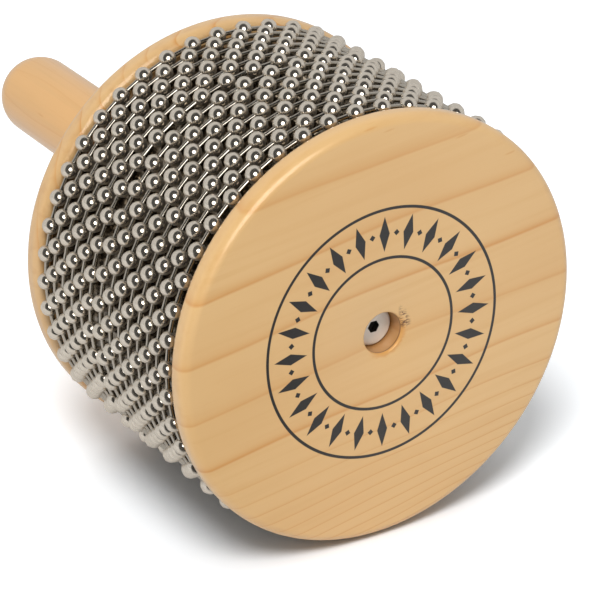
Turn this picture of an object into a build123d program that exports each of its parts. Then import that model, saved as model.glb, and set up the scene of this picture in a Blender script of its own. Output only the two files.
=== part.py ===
from build123d import *

import math
import os

# A cabasa: loops of ball chain that turn round a steel-clad wooden drum, held between two
# wooden discs, with a turned handle behind. It lies on its side, as it does on a table.
# Sizes are in millimetres. The drum's axis runs along +Y, the front disc faces -Y,
# the handle points to +Y, and +Z is up. The origin is on the table, below the middle.

# The two discs
DISC_RADIUS = 57.5
DISC_THICKNESS = 7.0
RIM_ROUNDING = 2.75

# The drum between the discs
SLEEVE_RADIUS = 53.5
SLEEVE_THICKNESS = 0.5
SLEEVE_SEAM = 0.4
GLUE_LINE = 0.05

# The chain: balls joined by short straight links
BALL_DIAMETER = 4.6
BALL_SPACING = 7.7
LINK_DIAMETER = 1.3

# The loops of chain, laid side by side along the drum
LOOP_COUNT = 14
FRONT_GROUP = 8
LOOP_SLACK = 0.4
LOOP_GAP = 0.12
GROUP_GAP = 0.7
DISC_GAP = 0.3

# How far the loops lie turned against each other, in spacings of the balls
FIRST_TURN = 0.18
STAGGER = 0.5
REAR_GROUP_TURN = 0.25

# The handle, a straight rod with a round end and a tenon at the other
HANDLE_RADIUS = 11.4
HANDLE_LENGTH = 111.0
TENON_RADIUS = 8.0
TENON_DEPTH = 15.0

# The long bolt that pulls the handle against the drum
BOLT_RADIUS = 3.0
BOLT_HEAD_RADIUS = 5.2
BOLT_HEAD_HEIGHT = 3.0
BOLT_HEAD_ROUNDING = 0.8
BOLT_REACH = 45.0
BOLT_POINT = 5.0
SOCKET_WIDTH = 3.0
SOCKET_DEPTH = 2.0
SOCKET_SIDES = 6
WASHER_THICKNESS = 1.0
WASHER_MARGIN = 0.1
POCKET_DEPTH = 1.4
ACCESS_CHAMFER = 0.6
HEAD_CLEARANCE = 0.2
BOLT_CLEARANCE = 0.25
TENON_CLEARANCE = 0.1

# What follows from those sizes, measured along the drum's axis from the front face
BALL_RADIUS = BALL_DIAMETER / 2
LINK_RADIUS = LINK_DIAMETER / 2
DRUM_WIDTH = (
    2 * DISC_GAP + LOOP_COUNT * BALL_DIAMETER + (LOOP_COUNT - 1) * LOOP_GAP + GROUP_GAP
)
DRUM_FRONT = DISC_THICKNESS
DRUM_REAR = DRUM_FRONT + DRUM_WIDTH
HEAD_REAR = DRUM_REAR + DISC_THICKNESS
OVERALL_LENGTH = HEAD_REAR + HANDLE_LENGTH
CORE_RADIUS = SLEEVE_RADIUS - SLEEVE_THICKNESS - GLUE_LINE
TENON_FRONT = DRUM_REAR - TENON_DEPTH
WASHER_RADIUS = BOLT_HEAD_RADIUS + WASHER_MARGIN
ACCESS_RADIUS = WASHER_RADIUS + HEAD_CLEARANCE
ACCESS_DEPTH = DRUM_FRONT + POCKET_DEPTH
WASHER_FRONT = ACCESS_DEPTH - WASHER_THICKNESS
HEAD_FRONT = WASHER_FRONT - BOLT_HEAD_HEIGHT
BOLT_END = HEAD_REAR + BOLT_REACH

# The circle that the balls' centres lie on, and the straight links between them
LOOP_RADIUS = SLEEVE_RADIUS + LOOP_SLACK + BALL_RADIUS
BALLS_PER_LOOP = round(2 * math.pi * LOOP_RADIUS / BALL_SPACING)
BALL_STEP = 360 / BALLS_PER_LOOP
HALF_STEP = math.radians(BALL_STEP / 2)
SEAT_DISTANCE = math.sqrt(BALL_RADIUS**2 - LINK_RADIUS**2)
LINK_LENGTH = 2 * (LOOP_RADIUS * math.sin(HALF_STEP) - SEAT_DISTANCE)
LINK_OFFSET = LOOP_RADIUS * math.cos(HALF_STEP)

# The drum lies on its loops, and its axis is level
AXIS_HEIGHT = LOOP_RADIUS + BALL_RADIUS
DRUM = Plane(
    origin=(0, -OVERALL_LENGTH / 2, AXIS_HEIGHT), x_dir=(1, 0, 0), z_dir=(0, 1, 0)
).location

FROM_FRONT = (Align.CENTER, Align.CENTER, Align.MIN)


def rod(radius, front, rear):
    """A round bar on the drum's axis, from one distance behind the front face to another."""
    return Pos(0, 0, front) * Cylinder(radius, rear - front, align=FROM_FRONT)


def turned(outline):
    """A solid turned about the drum's axis from a closed outline of radius and distance."""
    return revolve(Plane.XZ * make_face(outline), Axis.Z)


def rounded_disc(front):
    """One wooden disc with both edges of its rim rounded."""
    disc = rod(DISC_RADIUS, front, front + DISC_THICKNESS)
    return fillet(disc.edges(), RIM_ROUNDING)


def front_disc():
    """The front disc, with the hole through which the bolt is driven."""
    disc = rounded_disc(0) - rod(ACCESS_RADIUS, 0, DISC_THICKNESS)
    front_edges = disc.edges().filter_by(GeomType.CIRCLE).group_by(Axis.Z)[0]
    mouth = front_edges.sort_by(SortBy.RADIUS)[0]
    return chamfer(mouth, ACCESS_CHAMFER)


def rear_disc():
    """The rear disc, bored for the handle's tenon."""
    return rounded_disc(DRUM_REAR) - rod(TENON_RADIUS + TENON_CLEARANCE, DRUM_REAR, HEAD_REAR)


def core():
    """The wooden core, bored for the bolt, its head and the handle's tenon."""
    block = rod(CORE_RADIUS, DRUM_FRONT, DRUM_REAR)
    head_pocket = rod(ACCESS_RADIUS, DRUM_FRONT, ACCESS_DEPTH)
    bolt_hole = rod(BOLT_RADIUS + BOLT_CLEARANCE, DRUM_FRONT, DRUM_REAR)
    tenon_hole = rod(TENON_RADIUS + TENON_CLEARANCE, TENON_FRONT, DRUM_REAR)
    return block - head_pocket - bolt_hole - tenon_hole


def sleeve():
    """The sheet of steel rolled round the core, with its butt seam underneath."""
    inside = rod(SLEEVE_RADIUS - SLEEVE_THICKNESS, DRUM_FRONT, DRUM_REAR)
    tube = rod(SLEEVE_RADIUS, DRUM_FRONT, DRUM_REAR) - inside
    seam = Box(SLEEVE_SEAM, 2 * SLEEVE_THICKNESS, DRUM_WIDTH, align=FROM_FRONT)
    return tube - Pos(0, SLEEVE_RADIUS - SLEEVE_THICKNESS / 2, DRUM_FRONT) * seam


def handle():
    """The handle and its tenon, turned in one piece and drilled for the bolt."""
    end_start = OVERALL_LENGTH - HANDLE_RADIUS
    pilot_radius = BOLT_RADIUS + GLUE_LINE
    sides = Polyline(
        (0, OVERALL_LENGTH),
        (0, BOLT_END),
        (pilot_radius, BOLT_END),
        (pilot_radius, TENON_FRONT),
        (TENON_RADIUS, TENON_FRONT),
        (TENON_RADIUS, HEAD_REAR),
        (HANDLE_RADIUS, HEAD_REAR),
        (HANDLE_RADIUS, end_start),
    )
    round_end = CenterArc((0, end_start), HANDLE_RADIUS, 0, 90)
    return turned(sides + round_end)


def handle_bolt():
    """The long bolt: a low round head with a six-sided socket, a shank and a point."""
    head = fillet(
        rod(BOLT_HEAD_RADIUS, HEAD_FRONT, WASHER_FRONT).edges().group_by(Axis.Z)[0],
        BOLT_HEAD_ROUNDING,
    )
    socket = Pos(0, 0, HEAD_FRONT) * extrude(
        RegularPolygon(SOCKET_WIDTH / 2, SOCKET_SIDES, major_radius=False), SOCKET_DEPTH
    )
    shank = turned(
        Polyline(
            (0, WASHER_FRONT),
            (BOLT_RADIUS, WASHER_FRONT),
            (BOLT_RADIUS, BOLT_END - BOLT_POINT),
            (0, BOLT_END),
            close=True,
        )
    )
    return head + shank - socket


def bolt_washer():
    """The washer between the bolt's head and the core."""
    hole = rod(BOLT_RADIUS + BOLT_CLEARANCE, WASHER_FRONT, ACCESS_DEPTH)
    return rod(WASHER_RADIUS, WASHER_FRONT, ACCESS_DEPTH) - hole


def chain_ball():
    """One ball at the start of a loop, with a small flat where each of its two links meets it."""
    ball = Sphere(BALL_RADIUS)
    for side in (1, -1):
        outward = Vector(-math.sin(HALF_STEP), side * math.cos(HALF_STEP), 0)
        seat = Plane(origin=outward * SEAT_DISTANCE, z_dir=outward)
        ball = split(ball, seat, keep=Keep.BOTTOM)
    return Pos(LOOP_RADIUS, 0, 0) * ball


def chain_link():
    """The link between a loop's first two balls."""
    pin = Rot(90, 0, 0) * Cylinder(LINK_RADIUS, LINK_LENGTH)
    return Rot(0, 0, BALL_STEP / 2) * Pos(LINK_OFFSET, 0, 0) * pin


def loop_place(index):
    """Distance of a loop behind the front face, with a wider gap after the front group."""
    pitch = BALL_DIAMETER + LOOP_GAP
    first = DRUM_FRONT + DISC_GAP + BALL_RADIUS
    return first + index * pitch + (GROUP_GAP if index >= FRONT_GROUP else 0)


def loop_turn(index):
    """Degrees by which a loop lies turned: every other loop is staggered, and the rear group too."""
    turn = FIRST_TURN + STAGGER * (index % 2)
    if index >= FRONT_GROUP:
        turn += REAR_GROUP_TURN
    return turn * BALL_STEP


def around(piece, index):
    """Copies of a ball or link all the way round one loop."""
    place = Pos(0, 0, loop_place(index))
    turns = [loop_turn(index) + n * BALL_STEP for n in range(BALLS_PER_LOOP)]
    return Compound([DRUM * place * Rot(0, 0, turn) * piece for turn in turns])


def build():
    """Every piece of the cabasa, by name."""
    pieces = {
        "front_disc": DRUM * front_disc(),
        "rear_disc": DRUM * rear_disc(),
        "core": DRUM * core(),
        "sleeve": DRUM * sleeve(),
        "handle": DRUM * handle(),
        "handle_bolt": DRUM * handle_bolt(),
        "bolt_washer": DRUM * bolt_washer(),
    }
    ball = chain_ball().solid()
    link = chain_link().solid()
    for index in range(LOOP_COUNT):
        pieces[f"loop_{index + 1:02d}_balls"] = around(ball, index)
        pieces[f"loop_{index + 1:02d}_links"] = around(link, index)
    return pieces


os.makedirs("parts", exist_ok=True)
for name, piece in build().items():
    export_step(piece, f"parts/{name}.step")
print(f"{BALLS_PER_LOOP} balls in each loop, axis {AXIS_HEIGHT:.2f} above the table")
print(f"head {HEAD_REAR:.2f} long, overall {OVERALL_LENGTH:.2f}")
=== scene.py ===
"""The looks of a cabasa: wooden discs, a turned handle, and loops of bright ball chain on a steel-clad drum.

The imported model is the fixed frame. Wood and chain are modelled here in its place, at its sizes, and the
pieces that are hardly seen keep their solids and get a finish. All lengths are in metres.
"""

import logging
import math
import random
from collections.abc import Callable, Sequence
from dataclasses import dataclass
from enum import Enum

import bmesh
import bpy
from mathutils import Matrix, Vector


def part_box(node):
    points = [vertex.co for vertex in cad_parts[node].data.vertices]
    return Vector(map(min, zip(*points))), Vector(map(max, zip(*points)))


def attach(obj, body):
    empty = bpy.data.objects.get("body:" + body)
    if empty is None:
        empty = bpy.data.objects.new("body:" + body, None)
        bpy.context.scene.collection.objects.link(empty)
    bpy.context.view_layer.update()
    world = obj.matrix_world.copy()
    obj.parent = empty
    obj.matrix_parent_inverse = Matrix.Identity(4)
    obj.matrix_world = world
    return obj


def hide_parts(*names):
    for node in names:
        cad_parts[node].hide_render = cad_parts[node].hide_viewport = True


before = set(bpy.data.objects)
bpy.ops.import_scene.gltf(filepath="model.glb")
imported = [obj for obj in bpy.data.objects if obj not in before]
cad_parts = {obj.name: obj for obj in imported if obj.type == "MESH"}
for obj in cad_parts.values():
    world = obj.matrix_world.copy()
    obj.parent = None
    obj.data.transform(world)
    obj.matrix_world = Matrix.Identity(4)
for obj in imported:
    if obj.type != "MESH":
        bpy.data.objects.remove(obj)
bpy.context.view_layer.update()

log = logging.getLogger("cabasa")

# Names and sizes that several pieces share
MM = 0.001
DRUM_BODY = "drum"
CHAIN_SEED = 7
SQUARE_ON = math.radians(90.0)
CRISP_WOOD = math.radians(35.0)
ON_SPOT = 0.1 * MM
TARGET_ACROSS = -24.31 * MM
TARGET_ABOVE_AXIS = 15.55 * MM

# A range is where a value starts and ends, and a span adds the two values that it is carried to
Range = tuple[float, float]
Span = tuple[float, float, float, float]
Triple = tuple[float, float, float]
Colour = Triple
Socket = bpy.types.NodeSocket
Piece = bpy.types.Object


class Element(Enum):
    """What an edit-mode selection is made of."""

    VERTEX = "VERT"
    EDGE = "EDGE"
    FACE = "FACE"


class Grain(Enum):
    """Which way the fibres of a wooden piece run, as a turn of the grain's own X axis."""

    ACROSS_FRONT = (0.0, math.radians(-8.0), 0.0)
    ACROSS_REAR = (0.0, math.radians(24.0), 0.0)
    ALONG_DRUM = (0.0, 0.0, SQUARE_ON)


@dataclass(frozen=True)
class DrumAxis:
    """The line that every piece turns about, read from the frame."""

    height: float
    front: float
    rear: float

    @classmethod
    def from_frame(cls) -> "DrumAxis":
        """Read the axis and the drum's ends from the sleeve's box.

        Returns:
            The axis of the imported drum.
        """
        low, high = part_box("sleeve")
        return cls(height=(low.z + high.z) / 2, front=low.y, rear=high.y)

    def point(self, along: float) -> Vector:
        """A point on the axis at a place along Y."""
        return Vector((0.0, along, self.height))

    def turn(self, angle: float) -> Matrix:
        """A turn about the axis, by an angle that carries the top towards +X."""
        centre = self.point(0.0)
        return Matrix.Translation(centre) @ Matrix.Rotation(angle, 4, "Y") @ Matrix.Translation(-centre)

    def distance(self, place: Vector) -> float:
        """How far a point lies from the axis."""
        return math.hypot(place.x, place.z - self.height)


class Bench:
    """The modelling steps that every piece uses, with Blender's own operators."""

    @staticmethod
    def clear() -> None:
        """Deselect everything, so that an operator meets only what is chosen next."""
        bpy.ops.object.select_all(action="DESELECT")

    @staticmethod
    def take(name: str) -> Piece:
        """Name the newly added object and put its place into its mesh.

        Args:
            name: The piece's name.

        Returns:
            The new piece, at the origin.
        """
        piece = bpy.context.active_object
        piece.name = name
        piece.data.name = name
        bpy.ops.object.transform_apply(location=True, rotation=True, scale=True)
        return piece

    @staticmethod
    def only(piece: Piece) -> None:
        """Select one piece alone and make it the active one."""
        Bench.clear()
        bpy.context.view_layer.objects.active = piece
        piece.select_set(True)

    @staticmethod
    def open(piece: Piece) -> None:
        """Start editing one piece, with nothing selected in it."""
        Bench.only(piece)
        bpy.ops.object.mode_set(mode="EDIT")
        bpy.ops.mesh.select_all(action="DESELECT")

    @staticmethod
    def close() -> None:
        """Stop editing."""
        bpy.ops.object.mode_set(mode="OBJECT")

    @staticmethod
    def choose(piece: Piece, kind: Element, test: Callable[..., bool]) -> int:
        """Select the vertices, edges or faces of an open piece that pass a test.

        Args:
            piece: The piece in edit mode.
            kind: Which kind of element is selected.
            test: Says whether an element is wanted.

        Returns:
            How many elements were selected.
        """
        bpy.ops.mesh.select_mode(type=kind.value)
        bpy.ops.mesh.select_all(action="DESELECT")
        mesh = bmesh.from_edit_mesh(piece.data)
        elements = {Element.VERTEX: mesh.verts, Element.EDGE: mesh.edges, Element.FACE: mesh.faces}[kind]
        wanted = [element for element in elements if test(element)]
        for element in wanted:
            element.select_set(True)
        mesh.select_flush_mode()
        bmesh.update_edit_mesh(piece.data)
        return len(wanted)

    @staticmethod
    def face_outwards(piece: Piece) -> None:
        """Merge doubled points and turn every face of a closed piece outwards."""
        Bench.open(piece)
        bpy.ops.mesh.select_all(action="SELECT")
        bpy.ops.mesh.remove_doubles(threshold=0.01 * ON_SPOT)
        bpy.ops.mesh.normals_make_consistent(inside=False)
        Bench.close()

    @staticmethod
    def smooth(piece: Piece, sharp_angle: float) -> None:
        """Shade a piece smooth, and keep the edges sharper than an angle crisp."""
        Bench.only(piece)
        bpy.ops.object.shade_smooth_by_angle(angle=sharp_angle)

    @staticmethod
    def apply(piece: Piece, modifier: bpy.types.Modifier) -> None:
        """Apply one modifier of a piece."""
        Bench.only(piece)
        bpy.ops.object.modifier_apply(modifier=modifier.name)

    @staticmethod
    def copy(piece: Piece, name: str, change: Matrix) -> Piece:
        """Copy a piece with a mesh of its own.

        Args:
            piece: The piece to copy.
            name: The copy's name.
            change: What moves or turns the copy's mesh.

        Returns:
            The copy.
        """
        twin = piece.copy()
        twin.data = piece.data.copy()
        twin.name = name
        twin.data.name = name
        twin.data.transform(change)
        bpy.context.scene.collection.objects.link(twin)
        return twin


@dataclass(frozen=True)
class Speckle:
    """A random pattern: how often it changes in a metre along each axis, and how fine it is."""

    frequency: Triple
    detail: float = 2.0
    roughness: float = 0.5


class NodeBoard:
    """A node tree with short calls to add and join its nodes."""

    def __init__(self, tree: bpy.types.NodeTree) -> None:
        """Empty a node tree and keep it."""
        self.tree = tree
        self.tree.nodes.clear()

    def add(self, kind: str, **settings: object) -> bpy.types.Node:
        """Add a node.

        Args:
            kind: The node's type name.
            settings: Values of the node's own properties.

        Returns:
            The node.
        """
        node = self.tree.nodes.new(kind)
        for key, value in settings.items():
            setattr(node, key, value)
        return node

    def feed(self, target: Socket, value: "Socket | float | Sequence[float]") -> None:
        """Link a socket, or set it where the value is plain."""
        if isinstance(value, Socket):
            self.tree.links.new(value, target)
        else:
            target.default_value = value

    def math(self, operation: str, *values: "Socket | float") -> Socket:
        """Work on numbers with a Math node."""
        node = self.add("ShaderNodeMath", operation=operation)
        for target, value in zip(node.inputs, values):
            self.feed(target, value)
        return node.outputs[0]

    def vector(self, operation: str, *values: "Socket | Sequence[float]") -> bpy.types.Node:
        """Work on vectors with a Vector Math node."""
        node = self.add("ShaderNodeVectorMath", operation=operation)
        for target, value in zip(node.inputs, values):
            self.feed(target, value)
        return node

    def dot(self, look: Socket, direction: Vector) -> Socket:
        """How far one direction agrees with another."""
        return self.vector("DOT_PRODUCT", look, direction).outputs["Value"]

    def product(self, first: Socket, *others: "Socket | float") -> Socket:
        """Multiply numbers."""
        for other in others:
            first = self.math("MULTIPLY", first, other)
        return first

    def length(self, first: Socket, second: Socket) -> Socket:
        """How far a point lies from the middle, from its distances along two axes."""
        squares = self.math("ADD", self.product(first, first), self.product(second, second))
        return self.math("SQRT", squares)

    def off(self, value: Socket, middle: float) -> Socket:
        """How far a value lies from a middle, on either side."""
        return self.math("ABSOLUTE", self.math("SUBTRACT", value, middle))

    def split(self, place: Socket) -> tuple[Socket, Socket, Socket]:
        """The X, Y and Z of a coordinate or direction."""
        node = self.add("ShaderNodeSeparateXYZ")
        self.feed(node.inputs[0], place)
        across, along, up = node.outputs
        return across, along, up

    def noise(self, place: Socket, pattern: Speckle) -> Socket:
        """Smooth random values from 0 to 1 at a place."""
        node = self.add("ShaderNodeTexNoise")
        self.feed(node.inputs["Vector"], self.stretch(place, pattern.frequency))
        self.feed(node.inputs["Scale"], 1.0)
        self.feed(node.inputs["Detail"], pattern.detail)
        self.feed(node.inputs["Roughness"], pattern.roughness)
        return node.outputs["Fac"]

    def sway(self, place: Socket, pattern: Speckle, width: float) -> Socket:
        """Smooth random shifts to either side, as wide as a length."""
        return self.product(self.math("SUBTRACT", self.noise(place, pattern), 0.5), width)

    def span(self, value: Socket, start: float, end: float, low: float = 0.0, high: float = 1.0) -> Socket:
        """Carry a value from one range to another along a smooth step, held at both ends."""
        node = self.add("ShaderNodeMapRange", interpolation_type="SMOOTHSTEP")
        for name, number in (("From Min", start), ("From Max", end), ("To Min", low), ("To Max", high)):
            self.feed(node.inputs[name], number)
        self.feed(node.inputs["Value"], value)
        return node.outputs["Result"]

    def blend(self, factor: Socket, first: "Socket | Colour", second: "Socket | Colour") -> Socket:
        """Mix two colours."""
        node = self.add("ShaderNodeMix", data_type="RGBA")
        self.feed(node.inputs["Factor"], factor)
        for name, colour in (("A", first), ("B", second)):
            target = next(s for s in node.inputs if s.name == name and s.type == "RGBA")
            self.feed(target, colour if isinstance(colour, Socket) else (*colour, 1.0))
        return next(s for s in node.outputs if s.type == "RGBA")

    def place(self, centre: Vector, turn: Sequence[float] = (0.0, 0.0, 0.0)) -> Socket:
        """Object coordinates about a centre, with their axes turned."""
        coordinates = self.add("ShaderNodeTexCoord")
        mapping = self.add("ShaderNodeMapping", vector_type="TEXTURE")
        self.feed(mapping.inputs["Vector"], coordinates.outputs["Object"])
        self.feed(mapping.inputs["Location"], centre)
        self.feed(mapping.inputs["Rotation"], turn)
        return mapping.outputs["Vector"]

    def stretch(self, place: Socket, factors: Sequence[float]) -> Socket:
        """Scale coordinates, one factor for each axis."""
        return self.vector("MULTIPLY", place, factors).outputs["Vector"]

    def show(self, shader: Socket, kind: str = "ShaderNodeOutputMaterial") -> None:
        """Send a shader to the tree's output."""
        self.feed(self.add(kind).inputs["Surface"], shader)


def grey(level: float) -> Colour:
    """A colour without hue."""
    return (level, level, level)


def new_material(name: str) -> tuple[bpy.types.Material, NodeBoard]:
    """Start a material.

    Args:
        name: The material's name.

    Returns:
        The material and its empty node tree.
    """
    material = bpy.data.materials.new(name)
    material.use_nodes = True
    return material, NodeBoard(material.node_tree)


@dataclass(frozen=True)
class InkRosette:
    """A printed ring of lozenges and dots between two thin lines, worked out about the disc's middle."""

    outer_ring: float = 33.6 * MM
    inner_ring: float = 20.4 * MM
    line: float = 0.8 * MM
    count: int = 24
    lozenge_middle: float = 27.0 * MM
    lozenge_length: float = 9.4 * MM
    lozenge_width: float = 3.0 * MM
    dot: float = 1.7 * MM
    soft_edge: float = 0.08 * MM
    depth: Range = (0.3 * MM, 0.2 * MM)
    colour: Colour = (0.012, 0.010, 0.009)

    def mask(self, board: NodeBoard, centre: Vector) -> Socket:
        """Where the ink lies.

        Args:
            board: The wood's node tree.
            centre: The middle of the printed face.

        Returns:
            A value of 1 on the ink and 0 beside it.
        """
        across, depth, up = board.split(board.place(centre))
        radius = board.length(across, up)
        angle = board.math("ARCTAN2", across, up)
        lozenge = self.motif(board, radius, angle, 0.0, self.lozenge_length / 2, self.lozenge_width / 2)
        dots = self.motif(board, radius, angle, 0.5, self.dot / 2, self.dot / 2)
        ink = board.math("MAXIMUM", lozenge, dots)
        for ring in (self.outer_ring, self.inner_ring):
            half_line = self.line / 2
            line = board.span(board.off(radius, ring), half_line + self.soft_edge, half_line - self.soft_edge)
            ink = board.math("MAXIMUM", ink, line)
        return board.product(ink, board.span(depth, *self.depth))

    def motif(self, board: NodeBoard, radius: Socket, angle: Socket, phase: float, half_length: float,
              half_width: float) -> Socket:
        """A small four-cornered motif that repeats round the ring.

        Args:
            board: The wood's node tree.
            radius: Distance from the middle.
            angle: Angle round the middle.
            phase: Where in its share of the ring the motif stands.
            half_length: Half its size towards the middle.
            half_width: Half its size round the ring.

        Returns:
            A value of 1 on the motif and 0 beside it.
        """
        share = 2 * math.pi / self.count
        turns = board.math("ADD", board.math("DIVIDE", angle, share), phase + 0.5)
        off_angle = board.off(board.math("FRACT", turns), 0.5)
        off_side = board.product(off_angle, share, radius)
        off_middle = board.off(radius, self.lozenge_middle)
        reach = board.math("ADD", board.math("DIVIDE", off_side, half_width),
                           board.math("DIVIDE", off_middle, half_length))
        edge = self.soft_edge / half_width
        return board.span(reach, 1.0 + edge, 1.0 - edge)


@dataclass(frozen=True)
class MouthWearAndShade:
    """The drilled wall of the front disc's hole with painted shade down it and a dark ring at its top, rubbed
    wood round its mouth and fibres torn at its right.
    """

    hole: float = 5.8 * MM
    face_depth: Range = (0.60 * MM, 0.48 * MM)
    # painted shade: the bore wall is darkened from these depths on
    wall_shade_depth: Span = (0.54 * MM, 0.60 * MM, 0.0, 0.7)
    # a dark ring at the top of the bore wall, in the torn fibres' colour
    dark_ring_depth: Range = (1.08 * MM, 0.84 * MM)
    ragged: float = 1.5 * MM
    ragged_pattern: Speckle = Speckle((700.0, 700.0, 1500.0), 3.0, 0.6)
    rubbed_reach: Range = (7.0 * MM, 6.1 * MM)
    rubbed_side: Span = (-1.1 * MM, 5.5 * MM, 0.0, 0.85)
    strands: Speckle = Speckle((600.0, 500.0, 1900.0), 2.0, 0.6)
    strand_edges: Range = (0.46, 0.56)
    torn_reach: Range = (8.7 * MM, 6.78 * MM)
    torn_across: Range = (4.125 * MM, 5.5 * MM)
    torn_up: Range = (-0.55 * MM, 1.375 * MM)
    rubbed_colour: Colour = (0.640, 0.315, 0.085)
    torn_colour: Colour = (0.170, 0.075, 0.030)
    # the colour of the painted shade down the bore
    wall_shade_colour: Colour = (0.400, 0.180, 0.055)

    def colour(self, board: NodeBoard, centre: Vector, wood: Socket) -> Socket:
        """Lay the rubbed wood, the torn fibres, the dark ring and the painted shade of the bore over the
        wood.

        Args:
            board: The wood's node tree.
            centre: The middle of the front face.
            wood: The colour of the sound wood.

        Returns:
            The colour with these marks.
        """
        place = board.place(centre)
        across, depth, up = board.split(place)
        radius = board.length(across, up)
        on_face = board.span(depth, *self.face_depth)
        in_hole = board.math("LESS_THAN", radius, self.hole)
        # painted shade down the bore wall
        wall = board.product(in_hole, board.span(depth, *self.wall_shade_depth))
        # a dark ring where the bore wall begins
        dark_ring = board.product(wall, board.span(depth, *self.dark_ring_depth))
        edge = board.math("ADD", radius, board.sway(place, self.ragged_pattern, self.ragged))
        lower_right = board.span(board.math("SUBTRACT", across, up), *self.rubbed_side)
        rubbed = board.product(board.span(edge, *self.rubbed_reach), lower_right, on_face)
        sector = board.product(board.span(across, *self.torn_across), board.span(up, *self.torn_up))
        strands = board.span(board.noise(place, self.strands), *self.strand_edges)
        torn = board.product(sector, board.span(radius, *self.torn_reach), strands, on_face)
        # rubbed wood round the mouth, laid over the painted shade of the bore wall
        rubbed_and_shaded = board.blend(rubbed, board.blend(wall, wood, self.wall_shade_colour), self.rubbed_colour)
        return board.blend(board.math("MAXIMUM", torn, dark_ring), rubbed_and_shaded, self.torn_colour)


FIBRES = Speckle((90.0, 2600.0, 2600.0), 3.0, 0.6)
STREAKS = Speckle((14.0, 330.0, 330.0), 2.0, 0.55)
CLOUDS = Speckle((12.0, 40.0, 40.0))
RING_SWAY = Speckle((7.0, 16.0, 16.0))
RING_FADING = Speckle((4.0, 60.0, 60.0), 1.0)
FLECK_PLACES = Speckle((30.0, 50.0, 50.0), 0.0)


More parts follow.
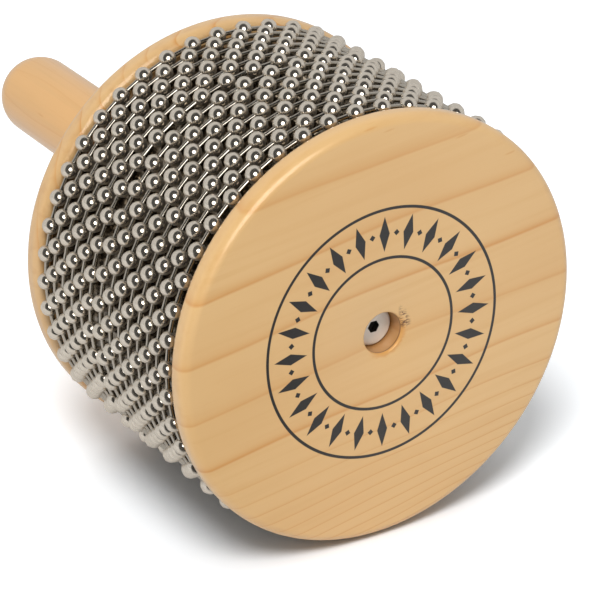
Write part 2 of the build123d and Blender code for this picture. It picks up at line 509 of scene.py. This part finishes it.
@dataclass(frozen=True)
class PineFinish:
    """Pale pine under satin lacquer: growth rings about a far pith, fine fibres and a few resin flecks."""

    name: str
    grain: Grain
    pith: Range
    seed: Triple
    ring_spacing: float = 5.2 * MM
    crowd_start: float = 1000.0 * MM
    crowd_width: float = 13.0 * MM
    pale: Colour = (0.700, 0.448, 0.198)
    late: Colour = (0.590, 0.275, 0.072)
    tint: Colour = (0.640, 0.375, 0.145)
    cloud_share: Span = (0.35, 0.75, 0.0, 0.55)
    streak_share: Span = (0.45, 0.75, 0.0, 0.55)
    fibre_share: Span = (0.55, 0.85, 0.0, 0.22)
    fleck_frequency: Triple = (60.0, 420.0, 420.0)
    fleck_size: Range = (0.16, 0.06)
    fleck_share: Span = (0.62, 0.72, 0.0, 0.45)
    ring_sway: float = 16.0 * MM
    ring_power: float = 14.0
    ring_end: Span = (0.95, 1.0, 1.0, 0.0)
    ring_fading: Span = (0.3, 0.7, 0.45, 1.0)
    ring_gain: float = 1.9
    contrast: float = 0.95
    roughness: float = 0.36
    gloss_edges: Range = (0.2, 0.8)
    gloss_swing: Range = (-0.05, 0.06)
    relief: float = 0.05 * MM
    relief_strength: float = 0.12
    lacquer: float = 0.5
    lacquer_roughness: float = 0.18
    ink_dulling: float = 0.12
    ink: InkRosette | None = None
    # rubbed wood, torn fibres and painted shade round the bore
    wear_and_shade: MouthWearAndShade | None = None

    def material(self, centre: Vector) -> bpy.types.Material:
        """Build the wood for a piece.

        Args:
            centre: The middle of the piece, which the grain is laid out from.

        Returns:
            The material.
        """
        material, board = new_material(self.name)
        place = board.place(centre, self.grain.value)
        seeded = board.vector("ADD", place, self.seed).outputs["Vector"]
        rings = self.rings(board, place, seeded)
        fibres = board.noise(seeded, FIBRES)
        clouds = board.span(board.noise(seeded, CLOUDS), *self.cloud_share)
        streaks = board.span(board.noise(seeded, STREAKS), *self.streak_share)
        colour = board.blend(streaks, board.blend(clouds, self.pale, self.tint), self.tint)
        for dark in (rings, board.span(fibres, *self.fibre_share), self.flecks(board, seeded)):
            colour = board.blend(dark, colour, self.late)
        gloss = board.span(fibres, *self.gloss_edges, *(self.roughness + swing for swing in self.gloss_swing))
        if self.ink is not None:
            inked = self.ink.mask(board, centre)
            colour = board.blend(inked, colour, self.ink.colour)
            gloss = board.math("ADD", gloss, board.product(inked, self.ink_dulling))
        if self.wear_and_shade is not None:
            colour = self.wear_and_shade.colour(board, centre, colour)
        bump = board.add("ShaderNodeBump")
        board.feed(bump.inputs["Strength"], self.relief_strength)
        board.feed(bump.inputs["Distance"], self.relief)
        board.feed(bump.inputs["Height"], board.math("ADD", fibres, rings))
        shader = board.add("ShaderNodeBsdfPrincipled")
        board.feed(shader.inputs["Base Color"], colour)
        board.feed(shader.inputs["Roughness"], gloss)
        board.feed(shader.inputs["Normal"], bump.outputs["Normal"])
        board.feed(shader.inputs["Coat Weight"], self.lacquer)
        board.feed(shader.inputs["Coat Roughness"], self.lacquer_roughness)
        board.show(shader.outputs["BSDF"])
        return material

    def rings(self, board: NodeBoard, place: Socket, seeded: Socket) -> Socket:
        """How dark the growth rings are at a place.

        Args:
            board: The wood's node tree.
            place: Coordinates about the piece, with X along the grain.
            seeded: The same coordinates, moved to this board's own noise.

        Returns:
            A value that rises slowly through each ring's early wood and drops at its end.
        """
        _, depth, side = board.split(place)
        from_pith = board.length(board.math("SUBTRACT", side, self.pith[0]),
                                 board.math("SUBTRACT", depth, self.pith[1]))
        swayed = board.math("ADD", from_pith, board.sway(seeded, RING_SWAY, self.ring_sway))
        beyond = board.math("MAXIMUM", board.math("SUBTRACT", swayed, self.crowd_start), 0.0)
        crowding = board.math("POWER", board.math("DIVIDE", beyond, self.crowd_width), 2.0)
        count = board.math("ADD", board.math("DIVIDE", swayed, self.ring_spacing), crowding)
        phase = board.math("FRACT", count)
        line = board.product(board.math("POWER", phase, self.ring_power), board.span(phase, *self.ring_end))
        fading = board.span(board.noise(seeded, RING_FADING), *self.ring_fading)
        return board.math("MINIMUM", board.product(line, self.ring_gain, fading, self.contrast), 1.0)

    def flecks(self, board: NodeBoard, seeded: Socket) -> Socket:
        """Short dark resin ticks, scattered along the grain."""
        cells = board.add("ShaderNodeTexVoronoi")
        board.feed(cells.inputs["Vector"], board.stretch(seeded, self.fleck_frequency))
        board.feed(cells.inputs["Scale"], 1.0)
        tick = board.span(cells.outputs["Distance"], *self.fleck_size)
        return board.product(tick, board.span(board.noise(seeded, FLECK_PLACES), *self.fleck_share))


@dataclass(frozen=True)
class SocketShadeAndGrime:
    """Painted shade and dark dirt in the socket of the bolt's head."""

    radius: float = 1.9 * MM
    depth: float = 0.3 * MM
    # the colour of the painted shade and dirt in the socket
    colour: Colour = (0.020, 0.016, 0.012)

    def mask(self, board: NodeBoard, centre: Vector) -> Socket:
        """Where the painted shade and dirt lie.

        Args:
            board: The metal's node tree.
            centre: The middle of the head's front.

        Returns:
            A value of 1 in the socket and 0 elsewhere.
        """
        across, depth, up = board.split(board.place(centre))
        inside = board.math("LESS_THAN", board.length(across, up), self.radius)
        return board.product(inside, board.span(depth, 0.0, self.depth))


SMEARS = Speckle((160.0, 160.0, 160.0), 3.0, 0.55)


@dataclass(frozen=True)
class MetalFinish:
    """A bare or plated metal: faint smears, scuffs that dull it at a slant, an embossed pattern."""

    name: str
    colour: Colour
    shade: Colour
    roughness: float
    smear: float
    smear_shade: Span = (0.4, 0.8, 0.0, 0.6)
    smear_edges: Range = (0.3, 0.75)
    metallic: float = 1.0
    scuff: float = 0.0
    scuff_slant: Range = (0.15, 0.60)
    emboss: float = 0.0
    emboss_pitch: float = 1.3 * MM
    emboss_scatter: float = 0.35
    shade_and_grime: SocketShadeAndGrime | None = None

    def material(self, centre: Vector) -> bpy.types.Material:
        """Build the metal.

        Args:
            centre: The middle of the piece's front.

        Returns:
            The material.
        """
        material, board = new_material(self.name)
        coordinates = board.add("ShaderNodeTexCoord").outputs["Object"]
        smears = board.noise(coordinates, SMEARS)
        colour = board.blend(board.span(smears, *self.smear_shade), self.colour, self.shade)
        gloss = board.span(smears, *self.smear_edges, self.roughness, self.roughness + self.smear)
        if self.scuff:
            slant = board.add("ShaderNodeLayerWeight").outputs["Facing"]
            gloss = board.math("ADD", gloss, board.span(slant, *self.scuff_slant, 0.0, self.scuff))
        # painted shade and dirt darken the colour in the bolt's socket
        if self.shade_and_grime is not None:
            colour = board.blend(self.shade_and_grime.mask(board, centre), colour, self.shade_and_grime.colour)
        shader = board.add("ShaderNodeBsdfPrincipled")
        board.feed(shader.inputs["Base Color"], colour)
        board.feed(shader.inputs["Roughness"], gloss)
        board.feed(shader.inputs["Metallic"], self.metallic)
        if self.emboss:
            board.feed(shader.inputs["Normal"], self.embossing(board, coordinates))
        board.show(shader.outputs["BSDF"])
        return material

    def embossing(self, board: NodeBoard, coordinates: Socket) -> Socket:
        """Raised grains, as on rolled sheet."""
        cells = board.add("ShaderNodeTexVoronoi", feature="SMOOTH_F1")
        board.feed(cells.inputs["Vector"], coordinates)
        board.feed(cells.inputs["Scale"], 1.0 / self.emboss_pitch)
        board.feed(cells.inputs["Randomness"], self.emboss_scatter)
        bump = board.add("ShaderNodeBump", invert=True)
        board.feed(bump.inputs["Strength"], 1.0)
        board.feed(bump.inputs["Distance"], self.emboss)
        board.feed(bump.inputs["Height"], cells.outputs["Distance"])
        return bump.outputs["Normal"]


NICKEL = MetalFinish("nickel_plate", (0.70, 0.635, 0.545), (0.62, 0.56, 0.47), roughness=0.09, smear=0.06,
                     metallic=0.94, scuff=0.32)
# painted shade: the links are darker than the balls, for the dark they mirror
SHADED_WIRE = MetalFinish("link_wire_painted_shade", (0.44, 0.40, 0.34), (0.34, 0.31, 0.26), roughness=0.13, smear=0.08)
# painted shade: the sleeve's steel is made dark, as the gaps between the balls are in shade
SHADED_STEEL_SHEET = MetalFinish("embossed_steel_painted_shade", (0.20, 0.17, 0.13), (0.11, 0.09, 0.07), roughness=0.15,
                          smear=0.08, emboss=0.09 * MM)
# the bolt's socket gets painted shade and dirt
ZINC = MetalFinish("zinc_plate", (0.80, 0.77, 0.71), (0.70, 0.67, 0.61), roughness=0.38, smear=0.12,
                   metallic=0.3, shade_and_grime=SocketShadeAndGrime())

FRONT_PINE = PineFinish("front_disc_pine", Grain.ACROSS_FRONT, (400.0 * MM, 0.0), (0.31, 0.17, 0.43),
                        ring_spacing=15.5 * MM, crowd_start=421.0 * MM, ink=InkRosette(), wear_and_shade=MouthWearAndShade())
REAR_PINE = PineFinish("rear_disc_pine", Grain.ACROSS_REAR, (-30.0 * MM, 60.0 * MM), (1.27, 0.61, 0.83),
                       pale=(0.660, 0.422, 0.192), tint=(0.575, 0.330, 0.136))
HANDLE_PINE = PineFinish("handle_pine", Grain.ALONG_DRUM, (22.0 * MM, 26.0 * MM), (2.13, 0.37, 1.91),
                         ring_spacing=4.0 * MM, pale=(0.715, 0.408, 0.158), contrast=0.40)
CORE_PINE = PineFinish("core_pine", Grain.ACROSS_REAR, (12.0 * MM, 8.0 * MM), (3.71, 1.11, 0.29),
                       pale=(0.520, 0.300, 0.130), late=(0.380, 0.190, 0.070), roughness=0.55, lacquer=0.0)


@dataclass
class WoodDisc:
    """One of the two discs that hold the loops on the drum."""

    node: str
    name: str
    finish: PineFinish
    axis: DrumAxis
    rounding: float = 2.75 * MM
    mouth_rounding: float = 0.0
    mouth_steps: int = 3
    segments: int = 192
    rounding_steps: int = 8
    face_rings: tuple[float, ...] = (0.35, 0.7, 1.0)

    def bore(self) -> float:
        """The radius of the hole at the disc's middle, read from its solid."""
        return min(self.axis.distance(vertex.co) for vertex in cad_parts[self.node].data.vertices)

    def build(self) -> Piece:
        """Turn the disc: round its rim, bore it and soften the mouth of the bore.

        Returns:
            The dressed disc.
        """
        low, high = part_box(self.node)
        middle = (low + high) / 2
        radius = (high.x - low.x) / 2
        bore = self.bore()
        Bench.clear()
        bpy.ops.mesh.primitive_cylinder_add(
            vertices=self.segments, radius=radius, depth=high.y - low.y, location=middle,
            rotation=(SQUARE_ON, 0.0, 0.0),
        )
        piece = Bench.take(self.name)
        Bench.open(piece)
        Bench.choose(piece, Element.EDGE, self.is_rim)
        bpy.ops.mesh.bevel(offset=self.rounding, segments=self.rounding_steps, affect="EDGES")
        flat = radius - self.rounding
        for share in self.face_rings:
            Bench.choose(piece, Element.FACE, self.is_cap)
            self.ring_at(piece, flat - share * (flat - bore))
        Bench.choose(piece, Element.FACE, self.is_cap)
        bpy.ops.mesh.delete(type="FACE")
        Bench.choose(piece, Element.EDGE, lambda edge: edge.is_boundary)
        bpy.ops.mesh.bridge_edge_loops()
        if self.mouth_rounding:
            Bench.choose(piece, Element.EDGE, lambda edge: self.is_mouth(edge, low.y, bore))
            bpy.ops.mesh.bevel(offset=self.mouth_rounding, segments=self.mouth_steps, affect="EDGES")
        Bench.close()
        Bench.face_outwards(piece)
        Bench.smooth(piece, CRISP_WOOD)
        return self.dress(piece, middle)

    @staticmethod
    def is_rim(edge: bmesh.types.BMEdge) -> bool:
        """Whether an edge runs round the rim and not across it."""
        return abs(edge.verts[0].co.y - edge.verts[1].co.y) < ON_SPOT

    def is_cap(self, face: bmesh.types.BMFace) -> bool:
        """Whether a face is one of the two flat many-sided ends."""
        return len(face.verts) == self.segments

    def is_mouth(self, edge: bmesh.types.BMEdge, front: float, bore: float) -> bool:
        """Whether an edge lies round the bore at the front face."""
        places = [vertex.co for vertex in edge.verts]
        at_bore = all(self.axis.distance(place) < bore + ON_SPOT for place in places)
        return at_bore and all(abs(place.y - front) < ON_SPOT for place in places)

    def ring_at(self, piece: Piece, radius: float) -> None:
        """Inset the selected ends until their edges lie at a radius.

        Args:
            piece: The disc in edit mode, with its two ends selected.
            radius: Where the new ring of edges goes.
        """
        mesh = bmesh.from_edit_mesh(piece.data)
        cap = next(face for face in mesh.faces if face.select)
        present = self.axis.distance(cap.verts[0].co)
        inset = (present - radius) * math.cos(math.pi / self.segments)
        bpy.ops.mesh.inset(thickness=inset, use_even_offset=True, use_individual=True)

    def dress(self, piece: Piece, middle: Vector) -> Piece:
        """Give the disc its wood and tie it to the drum."""
        face = Vector((middle.x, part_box(self.node)[0].y, middle.z))
        piece.data.materials.append(self.finish.material(face))
        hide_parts(self.node)
        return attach(piece, DRUM_BODY)


@dataclass
class Handle:
    """The straight handle with a round end, and the tenon that holds it in the drum."""

    axis: DrumAxis
    node: str = "handle"
    name: str = "handle_wood"
    segments: int = 96
    end_steps: int = 16
    end_share: float = 0.999
    shoulder_rounding: float = 0.4 * MM
    shoulder_steps: int = 3
    tenon_start: float = 1.0 * MM
    square_enough: float = 0.9

    def build(self) -> Piece:
        """Turn the handle: round its end and draw the tenon out of its shoulder.

        Returns:
            The dressed handle.
        """
        low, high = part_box(self.node)
        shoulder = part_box("rear_disc")[1].y
        middle = self.axis.point((high.y + shoulder) / 2)
        radius = (high.x - low.x) / 2
        points = [vertex.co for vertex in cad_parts[self.node].data.vertices]
        tenon = max(self.axis.distance(point) for point in points if point.y < shoulder - self.tenon_start)
        Bench.clear()
        bpy.ops.mesh.primitive_cylinder_add(
            vertices=self.segments, radius=radius, depth=high.y - shoulder, location=middle,
            rotation=(SQUARE_ON, 0.0, 0.0),
        )
        piece = Bench.take(self.name)
        Bench.open(piece)
        Bench.choose(piece, Element.EDGE, lambda edge: self.is_end(edge, high.y))
        bpy.ops.mesh.bevel(offset=self.end_share * radius, segments=self.end_steps, affect="EDGES")
        Bench.choose(piece, Element.FACE, lambda face: self.is_cap(face, 1.0))
        bpy.ops.mesh.merge(type="CENTER")
        Bench.choose(piece, Element.EDGE, lambda edge: self.is_end(edge, shoulder))
        bpy.ops.mesh.bevel(offset=self.shoulder_rounding, segments=self.shoulder_steps, affect="EDGES")
        Bench.choose(piece, Element.FACE, lambda face: self.is_cap(face, -1.0))
        bpy.ops.mesh.inset(thickness=radius - self.shoulder_rounding - tenon)
        bpy.ops.mesh.extrude_region_move(TRANSFORM_OT_translate={"value": (0.0, low.y - shoulder, 0.0)})
        Bench.close()
        Bench.face_outwards(piece)
        Bench.smooth(piece, CRISP_WOOD)
        piece.data.materials.append(HANDLE_PINE.material(middle))
        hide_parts(self.node)
        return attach(piece, DRUM_BODY)

    def is_cap(self, face: bmesh.types.BMFace, side: float) -> bool:
        """Whether a face is the flat many-sided end that looks to the rear (1) or the front (-1)."""
        return len(face.verts) == self.segments and side * face.normal.y > self.square_enough

    @staticmethod
    def is_end(edge: bmesh.types.BMEdge, along: float) -> bool:
        """Whether an edge lies round the handle at a place along it."""
        return all(abs(vertex.co.y - along) < 0.1 * ON_SPOT for vertex in edge.verts)


@dataclass
class BallChain:
    """The loops of ball chain: one ball and one link are shaped, and the rest are copies."""

    axis: DrumAxis
    loops: int = 14
    balls: int = 46
    front_group: int = 8
    first_turn: float = 0.18
    stagger: float = 0.5
    rear_group_turn: float = 0.25
    ball_diameter: float = 4.6 * MM
    link_diameter: float = 1.3 * MM
    link_seat: float = 0.5 * MM
    ball_segments: int = 12
    ball_rings: int = 8
    ball_pole: float = 0.499
    ball_crisp: float = math.radians(42.0)
    link_sides: int = 10
    link_waist: float = 0.94
    link_crisp: float = math.radians(45.0)
    wobble: float = 0.15 * MM

    @property
    def step(self) -> float:
        """The angle from one ball to the next."""
        return 2 * math.pi / self.balls

    def radius(self) -> float:
        """The circle that the balls' centres lie on, read from the first loop's solid."""
        low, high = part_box("loop_01_balls")
        return (high.z - low.z) / 2 - self.ball_diameter / 2

    def turn_of(self, index: int) -> float:
        """How far a loop lies turned: every other loop is staggered, and the rear group too."""
        turn = self.first_turn + self.stagger * (index % 2)
        if index >= self.front_group:
            turn += self.rear_group_turn
        return turn * self.step

    def ball(self, finish: bpy.types.Material) -> Piece:
        """Shape one pressed ball at the +X side of the drum, with a small flat where each link enters.

        Args:
            finish: The plating.

        Returns:
            The ball.
        """
        Bench.clear()
        bpy.ops.mesh.primitive_uv_sphere_add(
            segments=self.ball_segments, ring_count=self.ball_rings, radius=self.ball_diameter / 2
        )
        piece = Bench.take("chain_ball")
        Bench.open(piece)
        for side in (1.0, -1.0):
            Bench.choose(piece, Element.VERTEX, lambda v: side * v.co.z > self.ball_pole * self.ball_diameter)
            bpy.ops.mesh.delete(type="VERT")
            Bench.choose(piece, Element.EDGE, lambda edge: edge.is_boundary)
            bpy.ops.mesh.edge_face_add()
        Bench.close()
        Bench.face_outwards(piece)
        Bench.smooth(piece, self.ball_crisp)
        piece.data.transform(Matrix.Translation((self.radius(), 0.0, self.axis.height)))
        piece.data.materials.append(finish)
        return piece

    def link(self, finish: bpy.types.Material) -> Piece:
        """Shape the wire link between the first two balls, a little waisted, with its ends inside them.

        Args:
            finish: The plating.

        Returns:
            The link.
        """
        chord = 2 * self.radius() * math.sin(self.step / 2)
        length = chord - self.ball_diameter + 2 * self.link_seat
        Bench.clear()
        bpy.ops.mesh.primitive_cylinder_add(
            vertices=self.link_sides, radius=self.link_diameter / 2, depth=length
        )
        piece = Bench.take("chain_link")
        Bench.open(piece)
        Bench.choose(piece, Element.EDGE, lambda edge: edge.calc_length() > length / 2)
        bpy.ops.mesh.subdivide(number_cuts=1)
        Bench.choose(piece, Element.VERTEX, lambda v: abs(v.co.z) < length / 4)
        bpy.ops.transform.resize(value=(self.link_waist, self.link_waist, 1.0))
        Bench.close()
        Bench.smooth(piece, self.link_crisp)
        reach = self.radius() * math.cos(self.step / 2)
        piece.data.transform(Matrix.Translation((reach, 0.0, self.axis.height)))
        piece.data.transform(self.axis.turn(-self.step / 2))
        piece.data.materials.append(finish)
        return piece

    def ring(self, piece: Piece, name: str) -> Piece:
        """Copy a ball or link all the way round the drum.

        Args:
            piece: The ball or link at its first place.
            name: The name of the finished ring.

        Returns:
            The ring, as one piece.
        """
        stepper = bpy.data.objects.new("stepper", None)
        bpy.context.scene.collection.objects.link(stepper)
        stepper.matrix_world = self.axis.turn(self.step)
        bpy.context.view_layer.update()
        array = piece.modifiers.new("round_the_drum", "ARRAY")
        array.count = self.balls
        array.use_relative_offset = False
        array.use_object_offset = True
        array.offset_object = stepper
        Bench.apply(piece, array)
        bpy.data.objects.remove(stepper)
        piece.name = name
        piece.data.name = name
        return piece

    @staticmethod
    def between(slips: Sequence[float]) -> list[float]:
        """The slip of each link, halfway between those of its two balls."""
        return [(slip + slips[place - 1]) / 2 for place, slip in enumerate(slips)]

    def unsettle(self, row: Piece, slips: Sequence[float]) -> None:
        """Let each ball or link of a row lie a little off its even place, as on a slack chain.

        Args:
            row: All the balls or all the links of a loop.
            slips: A small turn about the axis for each of them.
        """
        points = [point.co.copy() for point in row.data.vertices]
        share = len(points) // self.balls
        turns = [self.axis.turn(slip) for slip in slips]
        moved = [turns[place // share] @ point for place, point in enumerate(points)]
        row.data.vertices.foreach_set("co", [value for point in moved for value in point])
        row.data.update()

    def build(self) -> list[Piece]:
        """Make every loop from the first ball and link.

        Returns:
            The dressed rows of balls and links.
        """
        front = self.axis.point(self.axis.front)
        balls = self.ring(self.ball(NICKEL.material(front)), "ball_ring")
        links = self.ring(self.link(SHADED_WIRE.material(front)), "link_ring")
        pieces = []
        slack = self.wobble / self.radius()
        for index in range(self.loops):
            body = f"bead_loop_{index + 1:02d}"
            slips = [random.uniform(-slack, slack) for _ in range(self.balls)]
            for source, kind in ((balls, "balls"), (links, "links")):
                node = f"loop_{index + 1:02d}_{kind}"
                low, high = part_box(node)
                place = Matrix.Translation((0.0, (low.y + high.y) / 2, 0.0))
                change = place @ self.axis.turn(self.turn_of(index))
                row = Bench.copy(source, f"{node}_plated", change)
                self.unsettle(row, slips if kind == "balls" else self.between(slips))
                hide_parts(node)
                pieces.append(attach(row, body))
        for source in (balls, links):
            bpy.data.objects.remove(source)
        return pieces


@dataclass
class HiddenPieces:
    """The solids that show only through gaps, which keep their shape and get a finish."""

    axis: DrumAxis

    def dress(self) -> list[Piece]:
        """Give the core, sleeve, bolt and washer their finishes.

        Returns:
            The dressed solids.
        """
        # the sleeve's dark steel is painted shade between the balls
        finishes = {"core": CORE_PINE, "sleeve": SHADED_STEEL_SHEET, "handle_bolt": ZINC, "bolt_washer": ZINC}
        for node, finish in finishes.items():
            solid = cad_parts[node]
            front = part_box(node)[0].y
            solid.data.materials.clear()
            solid.data.materials.append(finish.material(self.axis.point(front)))
        return [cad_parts[node] for node in finishes]


@dataclass
class Studio:
    """The white table, the soft light round it and the camera."""

    target: Vector
    middle: Vector
    azimuth: float = math.radians(-32.018)
    elevation: float = math.radians(26.138)
    distance: float = 768.35 * MM
    lens: float = 190.89
    sensor: float = 36.0
    clip_start: float = 10.0 * MM
    tent_top: float = 0.62
    tent_sides: float = 0.29
    tent_mirrored: float = 0.74
    table_mirrored: float = 0.80
    room_mirrored: float = 0.03
    flash_mirrored: float = 6.0
    table_size: float = 12.0
    table_light: float = 0.90
    table_seen: Colour = (1.27, 1.30, 1.33)
    # the painted shadow's colour near the instrument, and how far it reaches
    painted_contact_shadow: Colour = (0.74, 0.75, 0.77)
    painted_shadow_reach: float = 26.0 * MM
    opening_middle: Range = (0.04, 0.05)
    opening_half: Range = (0.50, 0.60)
    opening_soft: float = 0.13
    never_zero: float = 0.0001
    flash_aim: Triple = (0.26, 0.10, 0.95)
    flash_half_angle: float = math.radians(20.07)
    flash_edges: Range = (1.15, 0.85)
    key_azimuth: float = math.radians(-40.0)
    key_elevation: float = math.radians(54.0)
    key_distance: float = 2.6
    key_radius: float = 0.5
    key_watts: float = 51.0

    @staticmethod
    def towards(azimuth: float, elevation: float) -> Vector:
        """The way from the instrument to what stands at an azimuth and an elevation."""
        level = math.cos(elevation)
        return Vector((math.sin(azimuth) * level, -math.cos(azimuth) * level, math.sin(elevation)))

    def directions(self) -> tuple[Vector, Vector, Vector]:
        """The camera's right, up and backward directions."""
        right = self.towards(self.azimuth + SQUARE_ON, 0.0)
        up = self.towards(self.azimuth, self.elevation + SQUARE_ON)
        back = self.towards(self.azimuth, self.elevation)
        return right, up, back

    def camera(self) -> None:
        """Set the camera at the photograph's viewing angle."""
        right, up, back = self.directions()
        lens = bpy.data.cameras.new("camera")
        lens.lens = self.lens
        lens.sensor_width = self.sensor
        lens.clip_start = self.clip_start
        camera = bpy.data.objects.new("camera", lens)
        turn = Matrix((right, up, back)).transposed().to_4x4()
        camera.matrix_world = Matrix.Translation(self.target + back * self.distance) @ turn
        bpy.context.scene.collection.objects.link(camera)
        bpy.context.scene.camera = camera

    def flash_direction(self) -> Vector:
        """The way from the instrument to the flash, a little right of the camera and above it."""
        aim = Vector()
        for way, share in zip(self.directions(), self.flash_aim):
            aim += share * way
        return aim.normalized()

    def key_light(self) -> None:
        """A large round soft light above the camera, whose shadow falls behind the instrument."""
        aim = self.towards(self.key_azimuth, self.key_elevation)
        light = bpy.data.lights.new("key", "AREA")
        light.shape = "DISK"
        light.size = 2 * self.key_radius
        light.energy = self.key_watts
        lamp = bpy.data.objects.new("key", light)
        lamp.location = self.target + aim * self.key_distance
        lamp.rotation_euler = aim.to_track_quat("Z", "Y").to_euler()
        lamp.visible_glossy = False
        bpy.context.scene.collection.objects.link(lamp)

    def opening(self, board: NodeBoard, look: Socket) -> Socket:
        """Where the tent stands open round the camera.

        A mirror shows a direction where its own face looks halfway between that direction and the camera.
        The opening is an oval on a ball that is seen like this, in shares of the ball's radius.

        Args:
            board: The node tree that asks.
            look: Directions away from the instrument.

        Returns:
            A value of 1 towards the dark room and 0 towards the white cloth.
        """
        right, up, back = self.directions()
        twice = board.math("MULTIPLY_ADD", board.dot(look, back), 2.0, 2.0 + self.never_zero)
        half_way = board.math("SQRT", twice)
        reaches = []
        for way, middle, half_width in zip((right, up), self.opening_middle, self.opening_half):
            slant = board.math("DIVIDE", board.dot(look, way), half_way)
            reaches.append(board.math("DIVIDE", board.math("SUBTRACT", slant, middle), half_width))
        return board.span(board.length(*reaches), 1.0 + self.opening_soft, 1.0 - self.opening_soft)

    def mirrored(self, board: NodeBoard, look: Socket, white: float) -> Socket:
        """What bright metal mirrors: white all round, a dark room at the opening and the flash in the dark.

        Args:
            board: The node tree that asks.
            look: Directions away from the instrument.
            white: How bright the white is.

        Returns:
            The colour that is mirrored along each direction.
        """
        scene = board.blend(self.opening(board, look), grey(white), grey(self.room_mirrored))
        edges = [math.cos(share * self.flash_half_angle) for share in self.flash_edges]
        spot = board.span(board.dot(look, self.flash_direction()), *edges)
        return board.blend(spot, scene, grey(self.flash_mirrored))

    def tent(self) -> None:
        """White cloth all round, which lights the instrument evenly and is white behind it."""
        world = bpy.data.worlds.new("light_tent")
        bpy.context.scene.world = world
        world.use_nodes = True
        board = NodeBoard(world.node_tree)
        look = board.add("ShaderNodeTexCoord").outputs["Generated"]
        _, _, up = board.split(look)
        height = board.math("MAXIMUM", up, 0.0)
        cloth = board.blend(height, grey(self.tent_sides), grey(self.tent_top))
        path = board.add("ShaderNodeLightPath")
        mirrored = self.mirrored(board, look, self.tent_mirrored)
        glow = board.blend(path.outputs["Is Glossy Ray"], cloth, mirrored)
        glow = board.blend(path.outputs["Is Camera Ray"], glow, grey(1.0))
        background = board.add("ShaderNodeBackground")
        board.feed(background.inputs["Color"], glow)
        board.show(background.outputs["Background"], "ShaderNodeOutputWorld")

    def table(self) -> None:
        """The white table that the instrument lies on, a little darker where the instrument comes close: a
        painted shadow.

        The drum's metal mirrors it as it looks from the drum's middle.
        """
        Bench.clear()
        bpy.ops.mesh.primitive_plane_add(size=self.table_size)
        floor = Bench.take("table")
        material, board = new_material("white_table")
        path = board.add("ShaderNodeLightPath")
        look = board.vector("NORMALIZE", board.place(self.middle)).outputs["Vector"]
        mirrored = self.mirrored(board, look, self.table_mirrored)
        colour = board.blend(path.outputs["Is Glossy Ray"], grey(self.table_light), mirrored)
        # painted shadow: for the camera, the table's colour darkens where the instrument comes near
        painted_shadow_ao = board.add("ShaderNodeAmbientOcclusion")
        board.feed(painted_shadow_ao.inputs["Distance"], self.painted_shadow_reach)
        seen = board.blend(painted_shadow_ao.outputs["AO"], self.painted_contact_shadow, self.table_seen)
        colour = board.blend(path.outputs["Is Camera Ray"], colour, seen)
        paper = board.add("ShaderNodeBsdfDiffuse")
        board.feed(paper.inputs["Color"], colour)
        board.show(paper.outputs["BSDF"])
        floor.data.materials.append(material)

    def build(self) -> None:
        """Set up the whole studio."""
        self.camera()
        self.key_light()
        self.tent()
        self.table()
        bpy.context.scene.view_settings.view_transform = "Standard"


def main() -> None:
    """Build and dress the cabasa, piece by piece, and light it."""
    logging.basicConfig(level=logging.INFO, format="%(message)s")
    random.seed(CHAIN_SEED)
    axis = DrumAxis.from_frame()
    front_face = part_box("front_disc")[0].y
    discs = (
        WoodDisc("front_disc", "front_disc_wood", FRONT_PINE, axis, mouth_rounding=0.6 * MM),
        WoodDisc("rear_disc", "rear_disc_wood", REAR_PINE, axis),
    )
    pieces = [disc.build() for disc in discs]
    pieces.append(Handle(axis).build())
    pieces.extend(BallChain(axis).build())
    pieces.extend(HiddenPieces(axis).dress())
    for piece in pieces:
        log.info("%s: %d faces", piece.name, len(piece.data.polygons))
    target = Vector((TARGET_ACROSS, front_face, axis.height + TARGET_ABOVE_AXIS))
    Studio(target, axis.point((axis.front + axis.rear) / 2)).build()


if __name__ == "__main__":
    main()
